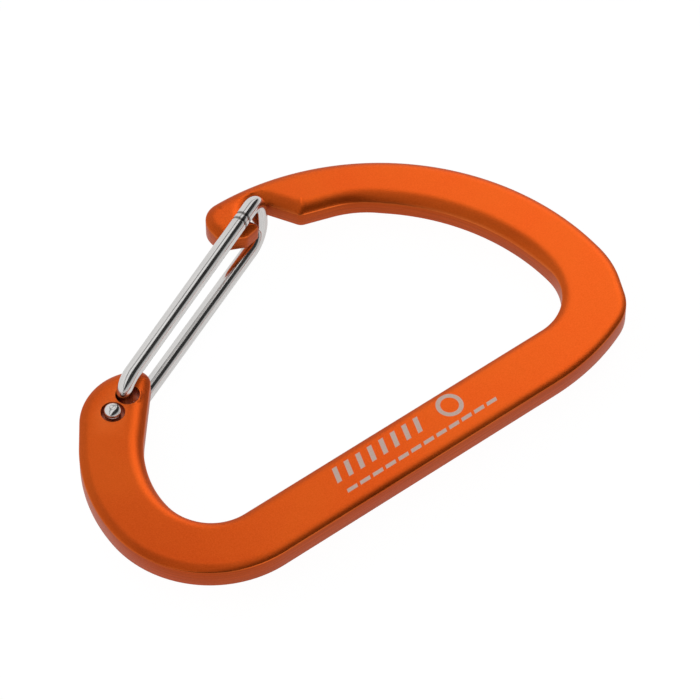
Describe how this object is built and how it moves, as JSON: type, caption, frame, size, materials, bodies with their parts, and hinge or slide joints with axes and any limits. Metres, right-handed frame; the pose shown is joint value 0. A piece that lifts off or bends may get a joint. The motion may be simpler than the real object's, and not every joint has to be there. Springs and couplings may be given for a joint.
{
  "type": "key carabiner",
  "caption": "Flat D-shaped anodised aluminium key carabiner with a sprung bent-wire gate that hooks into a notched nose.",
  "frame": {"origin": "under the middle of the whole part, level with the lowest side of the gate wire", "axes": "+X along the spine towards the closed end, +Y across the plate from the spine to the gate, +Z square to the plate, out of its upper face"},
  "size_m": [0.08, 0.0522, 0.0095],
  "materials": {
    "anodised_plate": "satin orange anodised, with a pale line print on the spine",
    "gate_wire": "bright drawn spring steel wire"
  },
  "bodies": {
    "frame": {"body_plate": "anodised_plate"},
    "gate": {"wire_gate": "gate_wire"}
  },
  "joints": [
    {"name": "gate_hinge", "type": "hinge", "parent": "frame", "child": "gate", "pos_m": [-0.0276, 0.0059, 0.0048], "axis": [0, 0, -1], "range_deg": [0, 22], "stiffness_Nm_per_rad": 0.2, "springref_deg": -11.46}
  ]
}
